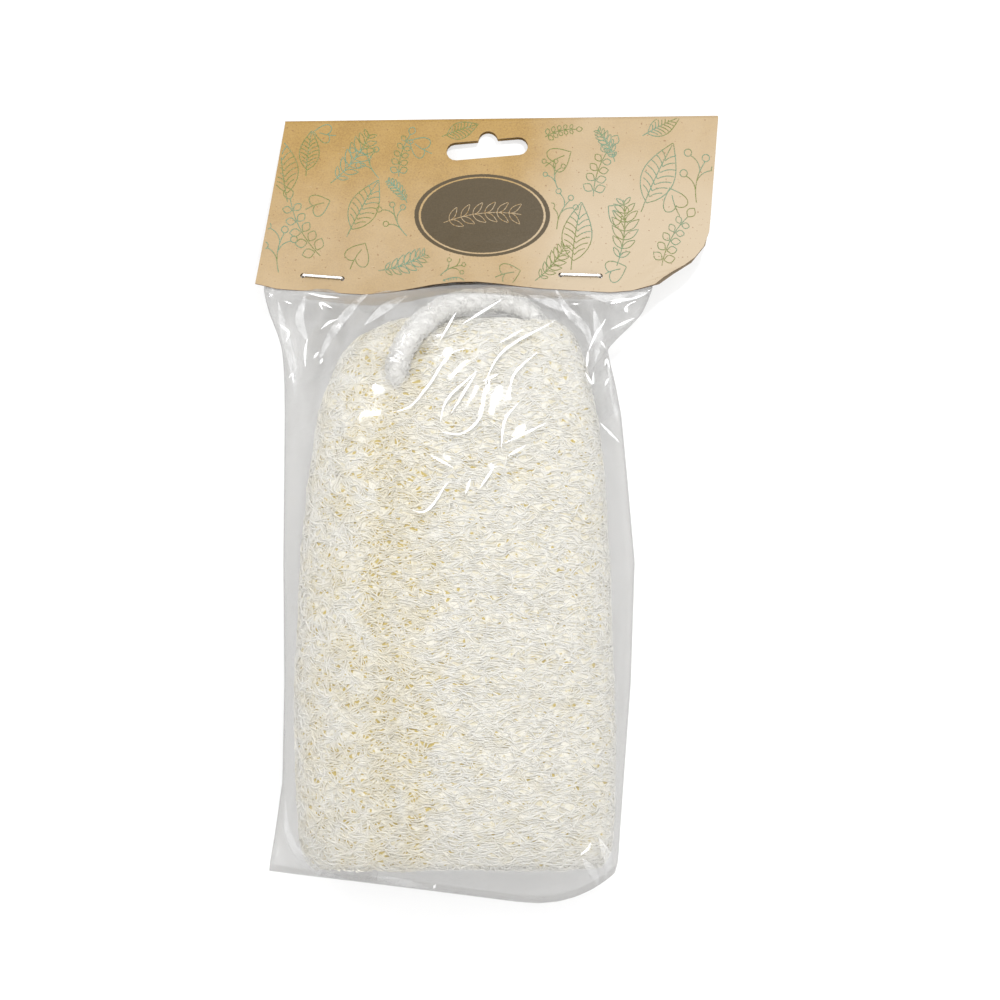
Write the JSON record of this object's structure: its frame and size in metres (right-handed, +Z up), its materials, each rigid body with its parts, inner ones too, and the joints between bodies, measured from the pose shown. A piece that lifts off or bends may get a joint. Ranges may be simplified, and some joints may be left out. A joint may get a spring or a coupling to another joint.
{
  "type": "loofah sponge",
  "caption": "Natural loofah bath sponge with a cotton hanging loop, packed in a clear pouch that is stapled under a folded kraft card with a hanging slot.",
  "frame": {"origin": "middle of the whole pack's outline seen from above, on the surface that the pack lies on", "axes": "+Y from the sponge's cut foot to the card, +X to the right of someone reading the card, +Z up out of the card's front"},
  "size_m": [0.1392, 0.2373, 0.0453],
  "materials": {
    "loofah": "dry matted plant fibre",
    "hanging_loop": "soft twisted cotton",
    "pouch": "clear glossy film",
    "header_card": "matt kraft board",
    "staples": "bright drawn wire"
  },
  "bodies": {
    "root": {"loofah": "loofah", "hanging_loop": "hanging_loop", "pouch": "pouch", "header_card": "header_card", "staple_left": "staples", "staple_right": "staples"}
  },
  "joints": []
}
